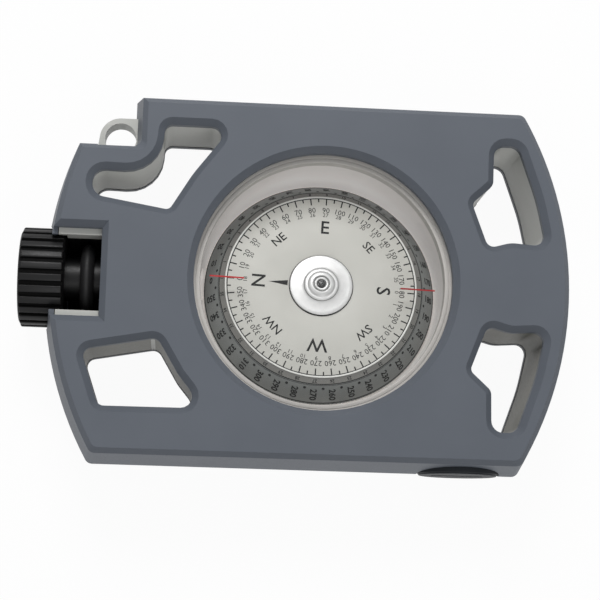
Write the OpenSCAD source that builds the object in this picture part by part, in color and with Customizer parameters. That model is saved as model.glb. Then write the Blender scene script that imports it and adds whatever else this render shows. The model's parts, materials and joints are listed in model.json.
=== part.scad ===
// Flat sighting compass: a floating card in a sealed capsule, held between two
// covers round a light inner frame, with a focusing eyepiece at one end.
// The origin is on the window's axis at the base. +X runs to the far end, +Z up.

/* [Covers] */
// Thickness of the whole body
body_t = 21; // [20:0.1:24]
// Half of the width of the flat top face
half_w = 32.45; // [31.5:0.05:36]
// Window axis to the far end of the top face
far_l = 45.3; // [44.5:0.1:52]
// Window axis to the eyepiece end of the top face
near_l = 49.9; // [49:0.1:54]
// Radius of the two curved ends
end_r = 66; // [55:1:90]
// How far the joint between the covers stands out past the top face
spread = 2.4; // [1.8:0.1:3]
// Width of the bevel round the top face
edge_w = 1.0; // [0.6:0.1:1.4]
// Height of that bevel
edge_h = 1.1; // [0.7:0.1:1.6]
// Radius of the body's corners seen from above
corner_r = 1.5; // [0.8:0.1:3]
// Thickness of each cover's flat plate
plate_t = 2.6; // [2.2:0.1:2.8]
// Thickness of the covers' side walls
wall_t = 2.2; // [1.6:0.1:2.6]
// Length of the corner notch, from the eyepiece end
notch_l = 16.0; // [14:0.1:17]
// Depth of the corner notch, from the long side
notch_w = 9.25; // [8.5:0.05:10]
// Radius inside the corner notch
notch_r = 1.5; // [0.5:0.1:2.5]
// Width of the bevel round the cut-outs, the slot and the window
rim_w = 1.2; // [0.6:0.1:1.5]
// Height of that bevel
rim_h = 1.2; // [0.6:0.1:1.6]

/* [Finger cut-outs] */
// Rounding steps on each corner of a cut-out
arc_steps = 6; // [3:1:8]
// Thickness of the light liner round each cut-out
liner_t = 1.4; // [0.8:0.1:1.6]
// How far the liner stands back from the edge of the cover
liner_back = 0.1; // [0:0.05:0.4]

/* [Inner frame] */
// Thickness of the frame's web between the covers
web_t = 2.0; // [1.2:0.1:3]
// Diameter of the lanyard eye's hole
eye_d = 6.0; // [4:0.1:6.4]
// Material round that hole
eye_rim = 1.0; // [0.8:0.1:1.6]
// Thickness of the lanyard eye
eye_t = 4.7; // [3:0.1:6]
// The eye's hole to the notch's short wall
eye_dx = 5.2; // [4.6:0.1:6]
// The eye's hole to the notch's long wall
eye_dy = 3.95; // [3.6:0.05:4.6]

/* [Window and capsule] */
// Radius of the opening in the top cover
window_r = 24.3; // [23:0.1:24.4]
// Thickness of the clear lens
lens_t = 1.6; // [1.2:0.1:2]
// How far the lens reaches under the cover all round
lens_lap = 0.8; // [0.7:0.1:1.3]
// Thickness of the capsule's wall
bowl_wall = 1.5; // [1.5:0.1:1.8]
// Thickness of the capsule's floor
bowl_floor = 1.2; // [0.8:0.1:1.4]
// Thickness of the lens seal's ring
seal_d = 0.9; // [0.6:0.1:1]
// Width of the red index lines
index_w = 0.28; // [0.2:0.02:0.6]
// Length of an index line
index_l = 6.5; // [3:0.1:8]
// An index line's outer end to the rim of the window
index_back = 3.0; // [1:0.1:4]
// Turn of the index lines from the body's axis, in degrees
index_turn = -1.7; // [-3:0.1:3]

/* [Card] */
// Room between the skirt and the capsule's wall
skirt_room = 1.3; // [1.2:0.1:2.5]
// How far the skirt spreads past the disc
skirt_spread = 4.3; // [3.2:0.1:5]
// Thickness of the disc
card_t = 0.8; // [0.6:0.1:1]
// Space from the disc's top to the lens
headroom = 3.6; // [3.4:0.1:4]
// Height of the skirt under the disc
skirt_h = 4.0; // [3.4:0.1:4.2]
// Thickness of the skirt
skirt_t = 0.6; // [0.5:0.1:0.8]
// Degrees that the card leans from level, towards the far long side, up to its stop
card_lean = 10.5; // [0:0.5:10.5]
// Radius of the metal hub
hub_r = 6.0; // [5:0.1:7]
// Thickness of the hub's plate
hub_t = 0.5; // [0.4:0.1:0.8]
// Radius of the hub's middle step
hub_step_r = 3.35; // [2.6:0.05:4]
// Radius of the hub's boss
hub_boss_r = 1.75; // [1.2:0.05:2.2]
// Radius of the bearing
jewel_r = 1.9; // [1.5:0.1:2.2]
// Height of the bearing
jewel_h = 1.9; // [1.5:0.1:2.2]
// Width, length and height of a bar magnet
magnet = [14, 2.4, 1.4];
// Centre of a magnet to the card's axis
magnet_y = 5.2; // [5:0.1:7]
// Radius of the pivot pin
pivot_r = 0.6; // [0.4:0.05:0.7]
// Radius of the pivot's brass foot
foot_r = 3.0; // [2:0.1:3.2]
// Height of that foot
foot_h = 1.2; // [0.8:0.1:1.4]

/* [Eyepiece] */
// Outer diameter of the ribbed focus ring
ring_d = 18.9; // [17.5:0.1:19]
// Length of the focus ring
ring_l = 8.4; // [7.8:0.1:9.5]
// How far the ring stands out past the body's end
ring_out = 4.5; // [4.4:0.05:5.4]
// Number of ribs on the ring
ribs = 26; // [20:1:32]
// Depth of the grooves between ribs
rib_h = 0.55; // [0.3:0.05:0.8]
// Outer diameter of the eyepiece tube
tube_d = 8.4; // [7.6:0.1:8.6]
// Wall of the tube
tube_wall = 1.0; // [0.8:0.1:1.3]
// Diameter of the rounded stop collar on the tube
collar_d = 14.0; // [12:0.1:14.2]
// Width of the stop collar
collar_w = 2.6; // [2:0.1:3]
// Width of the eyepiece slot in the covers
slot_w = 16.6; // [16.2:0.1:17.4]
// Length of the slot, from the end of the top face
slot_l = 8.4; // [8.3:0.1:9]
// Width between the light walls inside the slot
slot_in = 14.2; // [14:0.1:15]
// Distance of the light slot walls from the near end of the top face
slot_mouth = 0.3; // [0.2:0.05:0.6]
// Height of those light walls
lip_h = 3.9; // [2:0.1:4.2]
// Focus travel of the tube
focus_travel = 2.0; // [1:0.1:2]
// Radius of the eye lens
eye_lens_r = 5.0; // [4:0.1:5.2]
// Thickness of the eye lens at its middle
eye_lens_t = 2.4; // [1.8:0.1:2.6]

/* [Lamp and battery] */
// Diameter of the battery cap
cap_d = 15.4; // [14.6:0.1:15.6]
// How far the cap stands out past the side
cap_proud = 0.15; // [0.1:0.05:0.4]
// Window axis to the cap's axis, along the side
cap_x = 27.0; // [26.8:0.1:27.4]
// Diameter of the coin cell
cell_d = 10; // [9.5:0.1:10.2]
// Thickness of the coin cell
cell_t = 2.5; // [1.6:0.1:2.8]
// Width of the slot for a coin in the cap
coin_w = 1.6; // [1:0.1:2]
// Diameter of the lamp
lamp_d = 3.0; // [2:0.1:3]

/* [Screws] */
// Shank diameter of the cover screws
screw_d = 2.2; // [2:0.1:2.4]
// Head diameter of the cover screws
head_d = 4.2; // [3.8:0.1:4.4]
// Height of the screws' heads
head_h = 1.6; // [1.2:0.1:1.8]
// Length of the shank under the head
shank_l = 13; // [11:0.5:14]

/* [Fits] */
// Radial clearance of a turning or sliding fit
run_gap = 0.05; // [0.02:0.01:0.1]
// Clearance between pieces that are only set together
set_gap = 0.15; // [0.1:0.05:0.2]
// Clearance round a piece that moves in the open
free_gap = 0.4; // [0.3:0.05:0.5]
// Gap between faces that rest against each other
rest_gap = 0.1; // [0.05:0.05:0.15]

/* [Hidden] */
$fn = 96;
over = 1;
slice_t = 0.01;
thread_gap = 0.02;

// Colours as the photograph shows them
grey = [0.39, 0.41, 0.44];
light = [0.78, 0.79, 0.77];
black = [0.10, 0.10, 0.11];
dark = [0.17, 0.19, 0.20];
clear = [0.85, 0.90, 0.92, 0.35];
white = [0.80, 0.80, 0.77];
skirt_grey = [0.27, 0.29, 0.29];
silver = [0.82, 0.82, 0.83];
brass = [0.75, 0.62, 0.35];
red = [0.70, 0.22, 0.22];

// Heights
mid = body_t / 2;
ceiling = body_t - plate_t;
lens_z = ceiling - lens_t;
floor_z = plate_t + bowl_floor;
card_top = lens_z - headroom;
card_under = card_top - card_t;
web_z = mid - web_t / 2;

// Radii of the capsule
lens_r = window_r + lens_lap;
bowl_r = lens_r + rest_gap;
bowl_in = bowl_r - bowl_wall;
skirt_r = bowl_in - skirt_room;
card_r = skirt_r - skirt_spread;
index_out = window_r - index_back;
index_in = index_out - index_l;

// The joint line round the body, and the notch's two walls at the top face
end_x = near_l + spread;
notch_x = -near_l + notch_l;
notch_y = half_w - notch_w;

// The lanyard eye, measured from the walls of the notch
eye_x = notch_x - eye_dx;
eye_y = notch_y + eye_dy;
eye_r = eye_d / 2 + eye_rim;
eye_way = eye_d / 2 + set_gap;

// Stations along the eyepiece, from the eye inwards
ring_r = ring_d / 2;
tube_r = tube_d / 2;
ring_outer = -end_x - ring_out;
ring_inner = ring_outer + ring_l;
recess_x = ring_inner + 2 * set_gap;
recess_r = ring_r + free_gap;
slot_x = -near_l + slot_l;
mouth_x = -near_l + slot_mouth;
sill_l = 1.2;
boss_l = 3.8;
guide_end = -bowl_r - boss_l - rest_gap;
guide_l = guide_end - slot_x;
tube_back = 0.6;
tube_end = guide_end - tube_back;
collar_x = slot_x - free_gap - focus_travel / 2 - collar_w;
flange_t = 1.5;
flange_w = 1.3;
flange_r = tube_r + flange_w;
ring_lip = 2.0;
step_x = ring_inner - ring_lip;
flange_x = step_x - flange_t - rest_gap;
cell_wall = 1.2;
cell_r = eye_lens_r + cell_wall;
cell_set = 0.8;
cell_face = ring_outer + cell_set;
seat_x = flange_x - rest_gap;

// Stations along the battery, from the cap inwards
cap_r = cap_d / 2;
cap_face = -(half_w + spread + cap_proud);
cap_head = 2.1;
cap_seal_d = 0.9;
sleeve_face = cap_face + cap_head + cap_seal_d;
neck_r = cap_r - cap_seal_d - 0.2;
neck_in = cell_d / 2 + set_gap;
cell_y = cap_face + cap_head + rest_gap;
spring_y = cell_y + cell_t;
spring_h = 1.7;
spring_base = 0.4;
sleeve_in = spring_y + spring_h;
neck_end = sleeve_in - 2 * set_gap;
sleeve_back = 0.5;
sleeve_end = sleeve_in + sleeve_back;
sleeve_wall = 1.4;
sleeve_r = neck_r + sleeve_wall;

// The five cover screws, each set from the edges that it stands beside
screw_in = 3.4;
screw_y = half_w - screw_in;
screws = [
    [notch_x, -screw_y], [-0.55 * window_r, screw_y], [0.85 * window_r, screw_y],
    [0.52 * window_r, -screw_y], [(bowl_r + far_l) / 2, 0]
];
boss_r = 2.6;

// Cut-outs, anticlockwise. A corner is [x, y, radius], taken from an anchor that
// keeps its distance to the nearest end and side of the body.
anchor_nl = [-near_l, half_w];
anchor_fl = [far_l, half_w];
corner_cut = [
    [6.15, -17.85, 2.5], [20.6, -20.2, 1.2], [24.8, -13.15, 30], [31.8, -3.9, 1.9],
    [19.3, -3.9, 1.5], [18.8, -13.25, 7], [6.15, -12.95, 2.4]
];
thumb_cut = [
    [5.4, 18.0, 1.6], [9.0, 7.7, 1.5], [28.5, 7.8, 2.1], [23.4, 13.95, 12], [19.4, 20.6, 1.8]
];
far_cut = [
    [-3.3, -24.35, 1.9], [-5.2, -15.45, 40], [-8.8, -5.15, 2.2], [-13.5, -5.15, 2.2],
    [-13.6, -12.9, 1.8], [-17.6, -16.55, 1.2], [-14.4, -25.05, 1.6], [-10.1, -23.85, 6]
];

function moved(loop, at, flip = 1) =
    let (pts = [for (c = loop) [at.x + c.x, flip * (at.y + c.y), c.z]], n = len(pts))
    flip > 0 ? pts : [for (i = [n - 1:-1:0]) pts[i]];
function mirror_y(at) = [at.x, -at.y];

CUTS = [
    moved(corner_cut, anchor_nl),
    moved(thumb_cut, mirror_y(anchor_nl)),
    moved(far_cut, anchor_fl),
    moved(far_cut, anchor_fl, -1)
];

// Plane geometry for outlines with rounded corners
function unit2(v) = v / norm(v);
function cross2(a, b) = a.x * b.y - a.y * b.x;
function turned(v, a) = [v.x * cos(a) - v.y * sin(a), v.x * sin(a) + v.y * cos(a)];
function xy(c) = [c.x, c.y];

// A corner moved outwards by d, with its radius grown or shrunk to match
function grown_corner(before, at, after, d) =
    let (u = unit2(xy(at) - xy(before)), v = unit2(xy(after) - xy(at)),
         nu = [u.y, -u.x], nv = [v.y, -v.x],
         p = xy(at) + d * (nu + nv) / (1 + nu * nv),
         side = sign(cross2(u, v)))
    [p.x, p.y, max(0.1, at.z + side * d)];
function grown(loop, d) =
    let (n = len(loop))
    [for (i = [0:n - 1]) grown_corner(loop[(i + n - 1) % n], loop[i], loop[(i + 1) % n], d)];

// The points of one rounded corner
function corner_arc(before, at, after) =
    let (u = unit2(xy(at) - xy(before)), v = unit2(xy(after) - xy(at)),
         turn = atan2(cross2(u, v), u * v),
         start = xy(at) - u * at.z * tan(abs(turn) / 2),
         centre = start + sign(turn) * at.z * [-u.y, u.x])
    [for (k = [0:arc_steps]) centre + turned(start - centre, turn * k / arc_steps)];
function rounded(loop) =
    let (n = len(loop))
    [for (i = [0:n - 1]) each corner_arc(loop[(i + n - 1) % n], loop[i], loop[(i + 1) % n])];

// Outward step of the body's side at a height away from the joint line
function side_out(h) = spread - (spread - edge_w) * h / (mid - edge_h);

// A wall that flares from one height to another round a cut-out
module flared(loop, d0, z0, d1, z1) {
    low = rounded(grown(loop, d0));
    high = rounded(grown(loop, d1));
    n = len(low);
    points = [for (p = low) [p.x, p.y, z0], for (p = high) [p.x, p.y, z1]];
    polyhedron(points, [
        [for (i = [0:n - 1]) i],
        [for (i = [n - 1:-1:0]) n + i],
        for (i = [0:n - 1]) [(i + 1) % n, i, n + i],
        for (i = [0:n - 1]) [(i + 1) % n, n + i, n + (i + 1) % n]
    ]);
}

// Plan of the body with its rounded corners, stepped outwards by a distance
module body_plan(out) {
    offset(r = corner_r, $fn = 32) offset(delta = -corner_r) intersection() {
        square([4 * end_r, 2 * (half_w + out)], center = true);
        translate([far_l - end_r, 0]) circle(end_r + out, $fn = 180);
        translate([end_r - near_l, 0]) circle(end_r + out, $fn = 180);
    }
}
module body_slice(z, out) {
    translate([0, 0, z]) linear_extrude(slice_t) body_plan(out);
}

// The slot walls' outer faces, and where the curved end wall stands clear of them
lip_out = slot_w / 2 + liner_t;
slot_wall_x = max(recess_x, -near_l - side_out(mid - plate_t) + wall_t + set_gap
    + end_r - sqrt(end_r * end_r - lip_out * lip_out));

// Plan of the corner notch, drawn back by the same distance
module notch_plan(out, r) {
    translate([notch_x - out - 2 * end_r + r, notch_y + out + r])
        offset(r = r, $fn = 32) square([2 * end_r - 2 * r, end_r]);
}
module notch_slice(z, out, r) {
    translate([0, 0, z]) linear_extrude(slice_t) notch_plan(out, r);
}

// Upper half of the body as a solid block, from the joint line to the top face
module half_block() {
    difference() {
        hull() {
            body_slice(0, side_out(0));
            body_slice(mid - edge_h, side_out(mid - edge_h));
            body_slice(mid - slice_t, 0);
        }
        hull() {
            notch_slice(-slice_t, side_out(0), notch_r);
            notch_slice(mid - edge_h, side_out(mid - edge_h), notch_r);
        }
        hull() {
            notch_slice(mid - edge_h, side_out(mid - edge_h), notch_r);
            notch_slice(mid, 0, notch_r);
        }
    }
}

// The hollow inside that half, with the side wall's thickness left on
module half_hollow() {
    top_h = mid - plate_t;
    difference() {
        hull() {
            body_slice(-slice_t, side_out(0) - wall_t);
            body_slice(top_h - slice_t, side_out(top_h) - wall_t);
        }
        hull() {
            notch_slice(-2 * slice_t, side_out(0) - wall_t, notch_r + wall_t);
            notch_slice(top_h, side_out(top_h) - wall_t, notch_r + wall_t);
        }
    }
}

// One finger cut-out through a cover, with its bevelled rim at the outer face
module cover_cut(loop) {
    translate([0, 0, -over]) linear_extrude(mid + 2 * over) polygon(rounded(loop));
    flared(loop, 0, mid - rim_h, rim_w * (1 + over / rim_h), mid + over);
}

// A box from a height up, with its outer rim bevelled, for the slot
module slot_cut(x0, x1, w, z0 = -over, flare = 0) {
    translate([x0, -w / 2, z0]) cube([x1 - x0, w, mid + over - z0]);
    if (flare > 0) {
        top = mid + over;
        grow = flare * (1 + over / rim_h);
        hull() {
            translate([x0, -w / 2, mid - rim_h]) cube([x1 - x0, w, slice_t]);
            translate([x0, -w / 2 - grow, top]) cube([x1 - x0 + grow, w + 2 * grow, slice_t]);
        }
    }
}

// Cylinders along X and along Y, from one station to another
module along_x(x0, x1, r) {
    translate([x0, 0, mid]) rotate([0, 90, 0]) cylinder(r = r, h = x1 - x0);
}
module cone_x(x0, x1, r0, r1) {
    translate([x0, 0, mid]) rotate([0, 90, 0]) cylinder(r1 = r0, r2 = r1, h = x1 - x0);
}
module along_y(y0, y1, r) {
    translate([cap_x, y0, mid]) rotate([-90, 0, 0]) cylinder(r = r, h = y1 - y0);
}
module ring_z(r_out, r_in, z0, z1) {
    translate([0, 0, z0]) difference() {
        cylinder(r = r_out, h = z1 - z0);
        translate([0, 0, -over]) cylinder(r = r_in, h = z1 - z0 + 2 * over);
    }
}

// Plan of the lanyard eye's plate, from its tip back to the web
eye_spread = 0.5;
eye_root = 0.3;
eye_stop = notch_x - 1;
module eye_plan(grow) {
    left = eye_x - eye_r - eye_spread;
    offset(delta = grow) hull() {
        translate([eye_x, eye_y]) circle(eye_r, $fn = 64);
        translate([left, notch_y - eye_root]) square([eye_stop - left, 1]);
        translate([eye_stop, notch_y - eye_root]) square([0.4, eye_dy + eye_r + eye_root]);
    }
}

// One cover in its own half: the joint line at z = 0 and the outer face at mid
module half_cover(has_window) {
    difference() {
        union() {
            difference() {
                half_block();
                half_hollow();
            }
            for (s = screws) translate([s.x, s.y, web_t / 2])
                cylinder(r = boss_r, h = mid - plate_t - web_t / 2 + slice_t);
        }
        for (loop = CUTS) cover_cut(loop);
        // The ring's recess in the end wall, and the slot in front of the capsule
        translate([0, 0, -mid]) along_x(-end_x - over, recess_x, recess_r);
        if (has_window) {
            slot_cut(-end_x - over, slot_x, slot_w, mid - plate_t, rim_w);
            slot_cut(-end_x - over, slot_x, slot_in);
            // Room in the end wall for the frame's slot walls
            translate([mouth_x - set_gap, -lip_out - set_gap, -over])
                cube([slot_x - mouth_x, 2 * (lip_out + set_gap), over + mid - plate_t]);
        } else {
            slot_cut(-end_x - over, recess_x - sill_l, slot_w);
        }
        // The lanyard eye's plate and the way through its hole
        translate([0, 0, -over]) linear_extrude(eye_t / 2 + set_gap + over) eye_plan(set_gap);
        translate([eye_x - eye_r, eye_y - eye_way, -over])
            cube([eye_r + eye_way, eye_r + eye_way, mid + 2 * over]);
        // The battery cap's hole and the pocket for its sleeve
        translate([0, 0, -mid]) along_y(cap_face - over, sleeve_face, cap_r + set_gap);
        translate([0, 0, -mid]) along_y(sleeve_face - set_gap, sleeve_end + set_gap, sleeve_r + set_gap);
        if (has_window) {
            translate([0, 0, -over]) cylinder(r = window_r, h = mid + 2 * over);
            translate([0, 0, mid - rim_h])
                cylinder(r1 = window_r, r2 = window_r + 2 * rim_w, h = 2 * rim_h);
        }
    }
}

module top_cover() color(grey) {
    difference() {
        translate([0, 0, mid]) half_cover(true);
        for (s = screws) translate([s.x, s.y, mid])
            cylinder(d = screw_d, h = screw_tip - mid + 2 * set_gap);
    }
}

module bottom_cover() color(grey) {
    difference() {
        translate([0, 0, mid]) mirror([0, 0, 1]) half_cover(false);
        for (s = screws) translate([s.x, s.y, -over]) {
            cylinder(d = screw_d + 2 * set_gap, h = mid + 2 * over);
            cylinder(d = head_d + 2 * set_gap, h = over + head_z);
        }
        // A shallow ring groove under the capsule
        ring_z(window_r + rim_w, window_r, -over, groove_h);
    }
}

groove_h = 0.4;
// Height of the screws' head seat, and of their tips
head_deep = 1.2;
head_z = head_deep + head_h;
screw_tip = head_z + shank_l;

// Walls of the frame beside the eyepiece slot
module slot_walls() {
    wall_end = slot_x + 1.2;
    for (side = [0, 1]) mirror([0, side, 0]) {
        translate([mouth_x, slot_in / 2, ceiling - lip_h])
            cube([wall_end - mouth_x, lip_out - slot_in / 2, lip_h]);
        translate([slot_wall_x, lip_out - liner_t, web_z])
            cube([wall_end - slot_wall_x, liner_t, ceiling - web_z]);
    }
}

module core_frame() color(light) {
    difference() {
        union() {
            // The web between the covers, round the capsule
            translate([0, 0, web_z]) linear_extrude(web_t) difference() {
                body_plan(side_out(web_t / 2) - wall_t - set_gap);
                notch_plan(side_out(web_t / 2) - wall_t - set_gap, notch_r + wall_t);
            }
            // A liner round each cut-out
            for (loop = CUTS) translate([0, 0, plate_t]) linear_extrude(ceiling - plate_t)
                polygon(rounded(grown(loop, liner_back + liner_t)));
            slot_walls();
            translate([0, 0, mid - eye_t / 2]) linear_extrude(eye_t) eye_plan(0);
            // Two posts behind the lamp's board
            lamp_place() for (side = [-1, 1])
                translate([board_gap + board_t + rest_gap, side * board_w / 3 - post.y / 2, web_z])
                    cube(post);
        }
        for (loop = CUTS) translate([0, 0, -over]) linear_extrude(body_t + 2 * over)
            polygon(rounded(grown(loop, liner_back)));
        translate([0, 0, -over]) cylinder(r = bowl_r + set_gap, h = body_t + 2 * over);
        translate([eye_x, eye_y, 0]) cylinder(d = eye_d, h = body_t);
        along_x(-end_x - over, recess_x, recess_r);
        // Room for the cradle, the capsule's boss and the battery sleeve
        translate([-end_x - over, -cradle_w / 2 - set_gap, -over])
            cube([end_x + over + guide_end + set_gap, cradle_w + 2 * set_gap, over + ceiling - lip_h]);
        translate([slot_x - rest_gap, -cradle_w / 2 - set_gap, -over])
            cube([guide_l + rest_gap + set_gap, cradle_w + 2 * set_gap, body_t + over]);
        along_x(guide_end - over, -bowl_in, boss_x_r + set_gap);
        along_y(cap_face - over, sleeve_end + set_gap, sleeve_r + set_gap);
        for (s = screws) translate([s.x, s.y, -over])
            cylinder(d = screw_d + 2 * set_gap, h = body_t + 2 * over);
        lamp_place() translate([board_gap - rest_gap, -board_w / 2 - set_gap, 0])
            cube([board_t + 2 * rest_gap, board_w + 2 * set_gap, body_t]);
        lamp_place() translate([-board_gap, -lamp_d / 2 - set_gap, 0])
            cube([2 * board_gap, lamp_d + 2 * set_gap, body_t]);
    }
}

drive_w = 0.6;
module cover_screws() color(silver) {
    for (s = screws) translate([s.x, s.y, head_deep]) difference() {
        union() {
            cylinder(d = head_d, h = head_h);
            cylinder(d = screw_d, h = head_h + shank_l);
        }
        for (turn = [0, 90]) rotate([0, 0, turn])
            translate([-head_d / 3, -drive_w / 2, -over])
                cube([head_d * 2 / 3, drive_w, over + head_h / 2]);
    }
}

// The capsule: a light cup with a boss towards the eyepiece
boss_x_r = 5.4;
boss_x = guide_end + rest_gap;
port_r = 3.2;
port_seat_r = 4.3;
port_t = 1.2;
port_x = boss_x + rest_gap;
bowl_step = 0.4;
step_h = 1.8;
module capsule_bowl() color(light) {
    difference() {
        union() {
            translate([0, 0, plate_t]) cylinder(r = bowl_r, h = lens_z - plate_t);
            along_x(boss_x, -bowl_in, boss_x_r);
        }
        translate([0, 0, floor_z]) cylinder(r = bowl_in - bowl_step, h = body_t);
        translate([0, 0, lens_z - step_h]) cylinder(r = bowl_in, h = body_t);
        along_x(boss_x - over, -bowl_in + over, port_r);
        along_x(boss_x - over, port_x + port_t + line_t, port_seat_r);
        ring_z(seal_r + seal_d / 2 + thread_gap, seal_r - seal_d / 2 - thread_gap, lens_z - seal_d, body_t);
        translate([plug_x, 0, 0]) cylinder(r = plug_r + thread_gap, h = body_t);
    }
}

seal_r = (bowl_r + bowl_in) / 2;
module capsule_seal() color(black) {
    rotate_extrude() translate([seal_r, lens_z - seal_d / 2]) circle(d = seal_d, $fn = 24);
}

module capsule_lens() color(clear) {
    translate([0, 0, lens_z]) cylinder(r = lens_r, h = lens_t);
}

// The screw that closes the capsule's filling hole
plug_x = 17;
plug_r = 1.6;
module filler_plug() color(brass) {
    translate([plug_x, 0, plate_t]) difference() {
        cylinder(r = plug_r, h = bowl_floor + set_gap);
        translate([-over - plug_r, -drive_w / 2, -over])
            cube([2 * (plug_r + over), drive_w, over + bowl_floor / 2]);
    }
}

// Red lines on the underside of the lens, in line with the card's bearing
index_t = 0.12;
module index_lines() color(red) {
    for (turn = [0, 180]) rotate([0, 0, turn + index_turn])
        translate([index_in, -index_w / 2, lens_z - index_t])
            cube([index_out - index_in, index_w, index_t]);
}

// The steel point that the card turns and tips on, in its brass foot
jewel_under = card_top - rest_gap - jewel_h;
cup_r = 0.2;
tip_r = 0.12;
tip_z = jewel_under + jewel_h * 0.72;
module pivot_pin() color(silver) {
    cone_h = 1.9;
    translate([0, 0, floor_z]) cylinder(r = pivot_r, h = tip_z - floor_z - cone_h, $fn = 32);
    translate([0, 0, tip_z - cone_h]) cylinder(r1 = pivot_r, r2 = tip_r, h = cone_h, $fn = 32);
    translate([0, 0, tip_z]) sphere(r = tip_r, $fn = 32);
}
module pivot_foot() color(brass) {
    ring_z(foot_r, pivot_r + thread_gap, floor_z, floor_z + foot_h);
}

// The clear port that the eyepiece looks through, and the line on it
line_t = 0.1;
line_w = 0.16;
module sight_window() color(clear) {
    along_x(port_x, port_x + port_t, port_seat_r - run_gap);
}
module sight_line() color(black) {
    line_h = 2 * (port_r - 2 * set_gap);
    translate([port_x + port_t, -line_w / 2, mid - line_h / 2]) cube([line_t, line_w, line_h]);
}

// The black holder that carries the eyepiece tube and floors the slot
cradle_w = slot_w + 4 * set_gap;
cradle_x = slot_x + rest_gap;
collar_room = collar_d / 2 + free_gap;
module eyepiece_cradle() color(black) {
    difference() {
        union() {
            translate([cradle_x, -cradle_w / 2, plate_t])
                cube([guide_end - cradle_x, cradle_w, ceiling - plate_t]);
            translate([slot_wall_x, -cradle_w / 2, plate_t])
                cube([cradle_x - slot_wall_x, cradle_w, ceiling - lip_h - rest_gap - plate_t]);
        }
        along_x(slot_x - over, guide_end + over, tube_r + run_gap);
        along_x(recess_x - over, cradle_x, collar_room);
        translate([recess_x - over, -collar_room, mid])
            cube([cradle_x - recess_x + over, 2 * collar_room, body_t]);
        // Groove for the tube's seal
        along_x(seal_x - seal_d / 2 - run_gap, seal_x + seal_d / 2 + run_gap,
            tube_r + 2 * run_gap + seal_d);
        translate([guide_x, 0, mid]) cylinder(r = guide_r + thread_gap, h = body_t, $fn = 32);
        // Corners cut back round the capsule
        translate([0, 0, -over]) cylinder(r = bowl_r + set_gap, h = body_t + 2 * over);
    }
}

seal_x = slot_x + guide_l / 4;
module tube_seal() color(black) {
    translate([seal_x, 0, mid]) rotate([0, 90, 0]) rotate_extrude()
        translate([tube_r + run_gap + seal_d / 2, 0]) circle(d = seal_d, $fn = 24);
}

// The pin that keeps the tube from turning, in a groove along the tube
guide_x = slot_x + guide_l / 2;
guide_r = 0.7;
guide_deep = 0.6;
module guide_pin() color(silver) {
    from_z = mid + tube_r - guide_deep + rest_gap;
    translate([guide_x, 0, from_z]) cylinder(r = guide_r, h = ceiling - rest_gap - from_z, $fn = 32);
}

// The sleeve that holds the coin cell behind its cap
module battery_sleeve() color(black) {
    difference() {
        along_y(sleeve_face, sleeve_end, sleeve_r);
        along_y(sleeve_face - over, sleeve_in, neck_r + run_gap);
    }
}
module cell_spring() color(brass) {
    along_y(sleeve_in - spring_base, sleeve_in, cell_d / 2 - 0.5);
    translate([cap_x, spring_y, mid]) rotate([-90, 0, 0])
        cylinder(r1 = cell_d / 8, r2 = cell_d / 3, h = spring_h - spring_base / 2);
}
module coin_cell() color(silver) {
    step = cell_t / 5;
    along_y(cell_y, spring_y - step, cell_d / 2);
    along_y(spring_y - step, spring_y, cell_d / 2 - 0.8);
}

// The lamp shines into the side of the light capsule
lamp_turn = -46;
board_gap = 1.9;
board_t = 0.9;
board_w = 9;
board_h = 8;
post = [1.4, 1.6, 4];
module lamp_place() {
    rotate([0, 0, lamp_turn]) translate([bowl_r + set_gap, 0, 0]) children();
}
module lamp_board() color([0.1, 0.35, 0.2]) {
    lamp_place() translate([board_gap, -board_w / 2, mid - board_h / 2]) cube([board_t, board_w, board_h]);
}
module lamp() color([0.95, 0.93, 0.75]) {
    lamp_place() translate([0, 0, mid]) rotate([0, 90, 0]) {
        translate([0, 0, lamp_d / 2]) cylinder(d = lamp_d, h = board_gap - lamp_d / 2, $fn = 48);
        intersection() {
            translate([0, 0, lamp_d / 2]) sphere(d = lamp_d, $fn = 48);
            cylinder(d = lamp_d, h = lamp_d / 2, $fn = 48);
        }
    }
}

// The card and its bearing lean about the tip of the pivot
module leaned() {
    translate([0, 0, tip_z]) rotate([-card_lean, 0, 0]) translate([0, 0, -tip_z]) children();
}

// The card: a printed disc with a sloping skirt that carries the sighting scale
module card_disc() color(white) leaned() {
    ring_z(card_r, jewel_r + rest_gap, card_under, card_top);
}
module card_skirt() color(skirt_grey) leaned() {
    top_in = card_r + run_gap;
    lip_in = top_in - 1.2;
    foot_z = card_under - skirt_h;
    slope_z = foot_z + 0.5;
    rotate_extrude() polygon([
        [top_in, card_top],
        [top_in, card_under],
        [lip_in, card_under],
        [lip_in, card_under - skirt_t],
        [top_in - skirt_t / 3, card_under - skirt_t],
        [skirt_r - skirt_t, slope_z],
        [skirt_r - skirt_t, foot_z],
        [skirt_r, foot_z],
        [skirt_r, slope_z],
        [top_in + skirt_t, card_top]
    ]);
}
hub_rise = 0.45;
hub_slope = 0.3;
dimple_r = 0.5;
module hub_cap() color(silver) leaned() {
    step_z = hub_t + hub_rise;
    boss_z = step_z + hub_rise;
    translate([0, 0, card_top]) rotate_extrude() polygon([
        [0, 0], [hub_r, 0], [hub_r, hub_t / 2], [hub_r - hub_slope, hub_t],
        [hub_step_r + hub_slope, hub_t], [hub_step_r, step_z],
        [hub_boss_r + hub_slope, step_z], [hub_boss_r, boss_z],
        [dimple_r + hub_slope, boss_z], [dimple_r, hub_t], [0, hub_t]
    ]);
}
module bearing_collar() color(brass) leaned() {
    ring_z(jewel_r + 1.0, jewel_r + rest_gap, jewel_under, card_under);
}
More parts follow.
